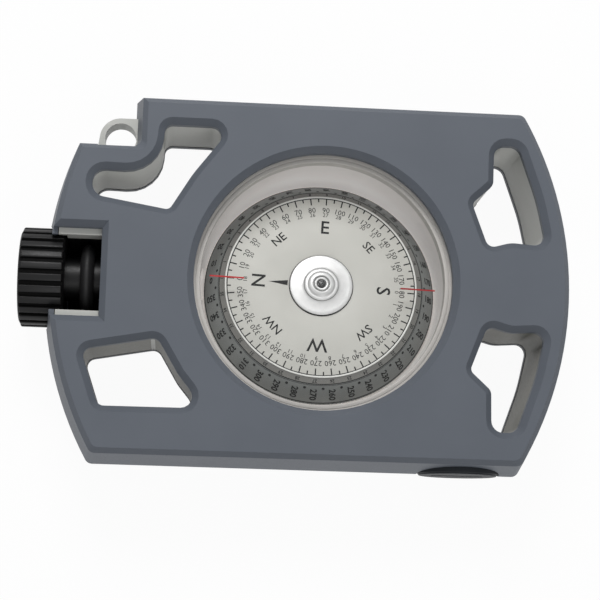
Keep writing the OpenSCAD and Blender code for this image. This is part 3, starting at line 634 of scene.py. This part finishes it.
# %% Window
SEAT_STEP = 0.75
SEAT_GAP = 0.05
low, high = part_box("capsule_lens")
lens_r = high.x / mm
lens_bottom, lens_top = low.z / mm, high.z / mm
seat_top = lens_bottom + SEAT_STEP
plug_r, plug_top = SEAT_IN - SEAT_GAP, seat_top + SEAT_GAP
bm = turned([
    (0, lens_bottom), (plug_r, lens_bottom), (plug_r, plug_top), (lens_r, plug_top),
    (lens_r, lens_top), (0, lens_top),
], closed=False)
round_edges(bm, 0.12)
finished_piece(bm, "window_disc", window_clear, "root", "capsule_lens")
print("window radius and thickness in mm:", round(lens_r, 2), round(lens_top - lens_bottom, 2))

# %% [markdown]
# ### The stepped ring in the cup
# The light cup carries the window on a ring. It reaches into a rabbet round the window
# and covers the seal. A fine groove and the ring's inner edge show from above as two
# thin lines round the dark skirt.

# %% Ring in the cup
ledge = WALL_TOP + 0.1
ring_foot = lens_bottom + 0.02
bm = turned([
    (lens_r - 0.05, ring_foot), (lens_r - 0.05, seat_top), (SEAT_IN + 0.88, seat_top),
    (SEAT_IN + 0.8, seat_top - 0.14), (SEAT_IN + 0.72, seat_top), (SEAT_IN + 0.08, seat_top),
    (SEAT_IN, seat_top - 0.1), (SEAT_IN, ledge - 0.3), (SEAT_IN + 0.12, ledge - 0.4),
    (WALL_R + 0.2, ledge - 0.4), (WALL_R + 0.5, ledge), (WALL_R + 0.5, ring_foot),
])
round_edges(bm, 0.03, segments=2)
finished_piece(bm, "cup_ring", seat_pale, "root")
print("cup ring from", round(ledge, 2), "to", round(seat_top, 2))

# %% [markdown]
# ### The card: plate and rim
# The card is a thin printed plate with a fine bright rim. It floats on a point and
# leans as it does in the picture. Each of its pieces is turned level first and then
# tipped about that point, whose place and axis come from the record's joint.

# %% Card plate and rim
CARD_OVER_TIP = 0.632
CARD_THICK = 0.8
CARD_HOLE = 2.0
card_axis = Vector(spin_joint["axis"]).normalized()
tipping = UP_AXIS.rotation_difference(card_axis).to_matrix().to_4x4()
CARD = Matrix.Translation(tip) @ tipping @ Matrix.Translation(-tip)
card_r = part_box("card_disc")[1].x / mm
card_top = tip_z + CARD_OVER_TIP
card_under = card_top - CARD_THICK


def over_card(section):
    """A section whose heights were counted from the card's face."""
    return [(r, card_top + h) for r, h in section]


def flat_ring(inner, outer, low, high):
    """A ring of four corners that leans with the card, its heights counted from its face."""
    corners = [(inner, low), (outer, low), (outer, high), (inner, high)]
    return turned(over_card(corners), place=CARD)


bm = flat_ring(CARD_HOLE, card_r, -CARD_THICK, 0)
round_edges(bm, 0.08, segments=2)
finished_piece(bm, "dial_plate", dial_white, "card", "card_disc")

rim_light = moulded("rim_light", (208, 208, 203), (216, 216, 211), 0.3, grain=0.3, depth=0.003)
bm = flat_ring(card_r - 0.12, card_r + 0.22, -0.01, 0.1)
round_edges(bm, 0.05, segments=2)
finished_piece(bm, "dial_rim", rim_light, "card")
print("card radius and top in mm:", round(card_r, 2), round(card_top, 2))

# %% [markdown]
# ### The skirt
# A skirt slopes down round the card, so that the eyepiece can read it from the side. It
# has an upper band that is nearly flat, a steep band, and an upright rim at its foot,
# each for its own scale. It is one moulding, so it is one section with one thickness.

# %% Skirt
SKIRT_ROOM = 0.25
SKIRT_DROP = 4.0
skirt_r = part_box("card_skirt")[1].x / mm - SKIRT_ROOM
skirt_foot = card_under - SKIRT_DROP
edge_r, edge_z = card_r + 0.05, card_top - 0.02
band_r, band_z = card_r + 1.3, card_top - 0.7
slope_r, slope_z = skirt_r - 0.05, skirt_foot + 0.5
bm = turned([
    (edge_r, edge_z), (band_r, band_z), (slope_r, slope_z), (skirt_r, skirt_foot),
    (skirt_r - 0.5, skirt_foot), (skirt_r - 0.6, slope_z), (band_r - 0.55, band_z - 0.45),
    (card_r - 1.1, card_under - 0.6), (card_r - 1.1, card_under - 0.02),
    (edge_r, card_under - 0.02),
], place=CARD)
finished_piece(bm, "card_slope", skirt_grey, "card", "card_skirt")
slope_w = slope_r - band_r
rise = (band_z - slope_z) / slope_w
print("skirt slope in degrees:", round(math.degrees(math.atan(rise)), 1))

# %% [markdown]
# ### The hub
# A bright turned cap holds the bearing in the card. It steps up twice to a small boss with a dark
# centre. The steep walls of the steps get a darker cut of the same metal, picked by the way their
# faces point: a painted reflection of a dark room. A dark ring on the card below the cap is a
# painted shadow of the gap under its edge.

# %% Hub
STEEP = 0.62
hub_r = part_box("hub_cap")[1].x / mm
bm = turned(over_card([
    (0, 0), (hub_r - 0.1, 0), (hub_r - 0.1, 0.12), (hub_r, 0.2), (hub_r, 0.36),
    (hub_r - 0.14, 0.46), (hub_r - 0.7, 0.5), (3.75, 0.46), (3.35, 0.56), (3.2, 0.84),
    (2.95, 0.93), (2.62, 0.92), (2.5, 1.02), (2.32, 1.2), (2.1, 1.28), (1.74, 1.34),
    (1.6, 1.28), (1.45, 1.0), (1.3, 1.22), (1.18, 1.27), (0.94, 1.25), (0.84, 1.0),
    (0.78, 0.8), (0, 0.78),
]), place=CARD, closed=False)
round_edges(bm, 0.05, segments=2, least=20)
hub = finished_piece(bm, "hub_turned", hub_silver, "card", "hub_cap", crease=50)
# The steep walls get the darker slot, a painted reflection.
hub.data.materials.append(hub_painted_reflection)
walls = [face for face in hub.data.polygons if abs(face.normal.dot(card_axis)) < STEEP]
for wall in walls:
    wall.material_index = 1
print("hub radius in mm:", round(hub_r, 2), "dark wall faces:", len(walls))

hub_dark = moulded("hub_dark", (14, 14, 15), (20, 20, 21), 0.25, grain=0.3, depth=0.003)
bm = turned(
    over_card([(0, 0.79), (0.74, 0.82), (0.68, 0.97), (0, 1.02)]), 32, CARD, closed=False)
finished_piece(bm, "hub_centre", hub_dark, "card")
# A dark ring on the card under the cap's edge: a painted shadow of the gap.
bm = flat_ring(hub_r - 0.3, hub_r + 0.16, 0.005, 0.05)
finished_piece(bm, "hub_gap_painted_shadow", hub_dark, "card")

# %% [markdown]
# ## Marks and lettering
# On the real card the marks are ink. Here each mark is a thin raised shape, 0.02 mm high, so that
# it stays sharp in a close view and is part of the mesh. The lettering is Blender's built-in
# typeface, made a mesh before it is placed. All the marks of one colour are joined in one piece,
# because they never move apart.

# %% Marks and lettering
INK = 0.02
DIAL_TURN = -3.0
TEXT_HALF = 0.01


def dial_angle(degrees):
    """The direction of a dial reading, counted clockwise from N at the eyepiece's side."""
    return math.radians(180 - degrees + DIAL_TURN)


def stand(angle, radius, height, slope=0.0):
    """Puts a flat mark at a radius on the card, sloping down outwards by an angle."""
    return (
        CARD @ Matrix.Rotation(angle, 4, "Z") @ Matrix.Translation((radius * mm, 0, height * mm))
        @ Matrix.Rotation(slope, 4, "Y")
    )


def add_bar(bm, along, across, matrix):
    """A thin bar, its length along the radius."""
    size = Matrix.Diagonal((along * mm, across * mm, INK * mm, 1))
    bmesh.ops.create_cube(bm, size=1.0, matrix=matrix @ size)


def add_round(bm, sides, radius, matrix):
    """A thin dot or triangle: a flat cone with a number of sides."""
    bmesh.ops.create_cone(
        bm, cap_ends=True, segments=sides, radius1=radius * mm, radius2=radius * mm,
        depth=INK * mm, matrix=matrix,
    )


def text_mesh(text, bold=0.0):
    """The mesh of a word in the built-in typeface, centred, at the typeface's own size."""
    curve = bpy.data.curves.new(text, "FONT")
    curve.body = text
    curve.align_x = "CENTER"
    curve.align_y = "CENTER"
    curve.resolution_u = 2
    curve.offset = bold
    curve.extrude = TEXT_HALF
    holder = bpy.data.objects.new(text, curve)
    mesh = bpy.data.meshes.new_from_object(holder)
    bpy.data.objects.remove(holder)
    bpy.data.curves.remove(curve)
    return mesh


def text_ends(mesh):
    """The bottom and the top of a word's mesh."""
    heights = [vert.co.y for vert in mesh.vertices]
    return min(heights), max(heights)


capital = text_mesh("E")
bottom, top = text_ends(capital)
CAPITAL = top - bottom
OUTWARDS = Matrix.Rotation(math.radians(-90), 4, "Z")


def add_text(bm, text, height, matrix, bold=0.0):
    """Lettering of a capital height in mm, its top pointing outwards along the radius."""
    mesh = text_mesh(text, bold)
    bottom, top = text_ends(mesh)
    scale = height * mm / CAPITAL
    size = Matrix.Diagonal((scale, scale, INK * mm / (2 * TEXT_HALF), 1))
    centre = Matrix.Translation((0, -(top + bottom) / 2, 0))
    mesh.transform(matrix @ OUTWARDS @ size @ centre)
    bm.from_mesh(mesh)
    bpy.data.meshes.remove(mesh)


print("capital height of the typeface:", round(CAPITAL, 3))

# %% [markdown]
# ### The dial's scale
# The dial counts clockwise from N in degrees, with a long tick each 10 and a short
# tick each 5. A second, smaller row gives the opposite direction in tens. The numbers
# are left at the typeface's own weight, because a bolder 4 loses its hole.

# %% Dial scale
BORDER_IN, BORDER_OUT = 0.3, 0.12
TICK_W, LONG_TICK, SHORT_TICK = 0.24, 1.25, 0.65
DEGREES_R, TENS_R, LETTER_R, PAIR_R, ARROW_R = 15.5, 14.5, 11.95, 12.25, 7.6
face_z = card_top + INK / 2


def on_dial(degrees, radius):
    """A place on the dial's face."""
    return stand(dial_angle(degrees), radius, face_z)


bm = bmesh.new()
for degrees in range(0, 360, 5):
    long_tick = degrees % 10 == 0
    length = LONG_TICK if long_tick else SHORT_TICK
    add_bar(bm, length, TICK_W, on_dial(degrees, card_r - BORDER_IN - length / 2))
    if long_tick:
        opposite = (degrees + 180) % 360 // 10
        add_text(bm, str(degrees), 1.02, on_dial(degrees, DEGREES_R))
        add_text(bm, str(opposite), 0.76, on_dial(degrees, TENS_R))
for word, degrees in (("N", 0), ("E", 90), ("S", 180), ("W", 270)):
    add_text(bm, word, 2.5, on_dial(degrees, LETTER_R), bold=0.012)
for word, degrees in (("NE", 45), ("SE", 135), ("SW", 225), ("NW", 315)):
    add_text(bm, word, 1.6, on_dial(degrees, PAIR_R), bold=0.008)
arrow_size = Matrix.Diagonal((2.45, 0.6, 1, 1))
add_round(bm, 3, 1.0, on_dial(0, ARROW_R) @ arrow_size @ OUTWARDS)
finished_piece(bm, "dial_print", ink_black, "card", crease=20)

bm = flat_ring(card_r - BORDER_IN, card_r - BORDER_OUT, 0, INK)
finished_piece(bm, "dial_border", ink_black, "card")
print("dial marks: 72 ticks, 72 numbers, 8 directions and the north arrow")

# %% [markdown]
# ### The skirt's scales
# The upper band has small numbers. Below a fine ring, the steep band has numbers that
# run down the slope each 10 degrees and a dot each 5. The fine ticks that the eyepiece
# looks at stand on the upright rim at the foot, so they don't show from above.

# %% Skirt scales
ink_soft = moulded("ink_soft", (26, 27, 26), (33, 34, 33), 0.6, grain=0.2, depth=0.003, spec=0.2)
EDGE, BAND, SLOPE = (edge_r, edge_z), (band_r, band_z), (slope_r, slope_z)
SIDEWAYS = Matrix.Rotation(math.radians(90), 4, "Z")
BAND_LIFT, SLOPE_LIFT = (0.012, 0.022), (0.012, 0.008)
RIM_TICK_W, LONG_RIM_TICK, SHORT_RIM_TICK = 0.12, 0.44, 0.3


def on_skirt(degrees, share, start, end, lift):
    """A place on a band of the skirt, from its top (0) to its foot (1), lifted off it."""
    radius, height = (a + (b - a) * share for a, b in zip(start, end))
    lean = math.atan2(start[1] - end[1], end[0] - start[0])
    return stand(dial_angle(degrees), radius + lift[0], height + lift[1], lean)


bm = bmesh.new()
for degrees in range(0, 360, 10):
    number = on_skirt(degrees, 0.55, BAND, SLOPE, SLOPE_LIFT) @ SIDEWAYS
    small_number = on_skirt(degrees, 0.58, EDGE, BAND, BAND_LIFT)
    add_text(bm, str(degrees // 10), 0.62, small_number, bold=0.02)
    add_text(bm, str(degrees), 1.18, number, bold=0.034)
    add_round(bm, 10, 0.29, on_skirt(degrees + 5, 0.22, BAND, SLOPE, SLOPE_LIFT))
rim_lean = math.atan2(slope_z - skirt_foot, skirt_r - slope_r)
for step in range(180):
    length = LONG_RIM_TICK if step % 5 == 0 else SHORT_RIM_TICK
    height = skirt_foot + 0.48 - length / 2
    add_bar(bm, length, RIM_TICK_W, stand(dial_angle(step * 2), skirt_r - 0.02, height, rim_lean))
finished_piece(bm, "skirt_print", ink_soft, "card", crease=20)
print("skirt marks: 36 + 36 numbers, 36 dots and 180 ticks")

# %% [markdown]
# The skirt's bands are parted by fine dark rings, and the upper band has a tone of its
# own. Each is a thin ring that follows the section just above it. A painted stripe in
# the material would also do, but a ring keeps a sharp edge at any distance.

# %% Rings on the skirt
band_grey = moulded(
    "band_grey", (113, 112, 108), (120, 119, 115), 0.5, patch=4, grain=0.25, depth=0.006)
band_end = (band_r - 0.1, band_z + 0.055)


def down_slope(out):
    """The point of the steep band that is a distance out from its top."""
    return band_r + out, band_z - out * rise


def slope_ring(name, material, steps, lift=0.02):
    """A thin band that lies on the skirt, through a chain of (radius, height) points."""
    upper = [(r, h + lift) for r, h in steps]
    lower = [(r - 0.01, h - 0.02) for r, h in reversed(steps)]
    bm = turned(upper + lower, place=CARD)
    finished_piece(bm, name, material, "card")


slope_ring("upper_band", band_grey, [(card_r + 0.2, card_top - 0.1), band_end], 0.016)
slope_ring("skirt_line", ink_soft, [band_end, BAND, down_slope(0.06)])
slope_ring("second_line", ink_soft, [down_slope(0.14), down_slope(0.2)])
slope_ring("foot_line", ink_soft, [down_slope(slope_w - 0.15), down_slope(slope_w - 0.02)])
print("rings on the skirt: 4")

# %% [markdown]
# ## The eyepiece
# The focus ring has twenty-six moulded ribs. It could be an extruded gear outline, but that leaves
# hard ends. Here a plain ring of four faces a rib is made, three of each four are inset and pushed
# outwards as one, and their edges are rounded, so each rib is wide and softly crowned and the
# groove beside it is narrow. The groove's floor is painted near black as painted shade.

# %% Ribbed focus ring
RIBS = 26
FACES_A_RIB = 4
RIB_H = 0.55
RIB_PUSH = 0.97 * RIB_H
RIB_INSET = 0.17
RIB_ROUND = 0.2
RIB_START, RIB_SHORTER = 0.3, 0.4
GROOVE_DEEP = 0.4
low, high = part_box("focus_ring")
ring_r = high.y / mm
ring_near, ring_far = low.x / mm, high.x / mm
foot_r = ring_r - RIB_H
length = ring_far - ring_near - RIB_SHORTER
bm = bmesh.new()
bmesh.ops.create_cone(
    bm, cap_ends=False, segments=FACES_A_RIB * RIBS, radius1=foot_r * mm, radius2=foot_r * mm,
    depth=length * mm,
    matrix=INTO_EYEPIECE @ Matrix.Translation((0, 0, (ring_near + RIB_START + length / 2) * mm)),
)


def face_turn(face):
    """The angle of a face's middle round the eyepiece's axis."""
    middle = face.calc_center_median()
    return math.atan2(middle.y, middle.z - EYEPIECE_Z * mm)


round_the_ring = sorted(bm.faces, key=face_turn)
crowns = [face for i, face in enumerate(round_the_ring) if i % FACES_A_RIB < FACES_A_RIB - 1]
bmesh.ops.inset_region(
    bm, faces=crowns, thickness=RIB_INSET * mm, depth=RIB_PUSH * mm, use_even_offset=True,
    use_boundary=True,
)
bmesh.ops.recalc_face_normals(bm, faces=bm.faces)
tops = set(crowns)
borders = [e for e in bm.edges if len([f for f in e.link_faces if f in tops]) == 1]
round_off(bm, borders, RIB_ROUND, 3)
ribs = finished_piece(bm, "focus_ribs", knob_black, "focus_knob")
# The floors of the grooves get a near black: painted shade.
groove_painted_shade = moulded("groove_painted_shade", (2, 2, 2), (4, 4, 4), 0.7, grain=0.4, depth=0.01, spec=0.08)
ribs.data.materials.append(groove_painted_shade)
for face in ribs.data.polygons:
    out = math.hypot(face.center.y, face.center.z - EYEPIECE_Z * mm)
    if out < (foot_r + GROOVE_DEEP) * mm:
        face.material_index = 1
print("ribs:", RIBS, "on a ring of", round(2 * ring_r, 1), "mm")

# %% [markdown]
# Below the ribs the focus ring is a turned barrel. A wide bore holds the lens cell and a
# narrow one runs on the tube, and a lathe section shows both at a glance.

# %% Body of the focus ring
CELL_BORE, TUBE_BORE = 6.25, 4.25
barrel_r = foot_r - 0.02
step_x = ring_far - 2.0
bm = turned([
    (barrel_r, ring_near + 0.7), (barrel_r, ring_near + 0.4), (foot_r - 0.14, ring_near + 0.18),
    (foot_r - 0.4, ring_near + 0.04), (foot_r - 0.75, ring_near), (CELL_BORE + 1.2, ring_near),
    (CELL_BORE + 0.9, ring_near + 0.08), (CELL_BORE, ring_near + 0.8), (CELL_BORE, step_x),
    (TUBE_BORE, step_x), (TUBE_BORE, ring_far), (foot_r - 0.6, ring_far),
    (barrel_r, ring_far - 0.4),
], 120, INTO_EYEPIECE)
finished_piece(bm, "focus_body", knob_black, "focus_knob", "focus_ring", crease=40)
print("barrel radius in mm:", round(barrel_r, 2))

# %% [markdown]
# The bead on the tube is a stop collar. Its round shoulder shows a soft highlight, so
# its section gets slanted shoulders first, and a wide rounding then blends them.

# %% Stop collar
BEAD_BORE = 4.22
low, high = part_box("stop_collar")
bead_r = high.y / mm
bead_x0, bead_x1 = low.x / mm, high.x / mm
bead_w = (bead_x1 - bead_x0) / 2
bm = turned([
    (BEAD_BORE, bead_x0), (bead_r - bead_w, bead_x0), (bead_r, bead_x0 + bead_w),
    (bead_r - bead_w, bead_x1), (BEAD_BORE, bead_x1),
], 96, INTO_EYEPIECE)
round_edges(bm, 0.75, segments=5)
bead_black = moulded("bead_black", (17, 17, 18), (22, 22, 23), 0.62, grain=0.4, depth=0.01)
finished_piece(bm, "tube_bead", bead_black, "eyepiece", "stop_collar", crease=50)
print("bead radius in mm:", round(bead_r, 2))
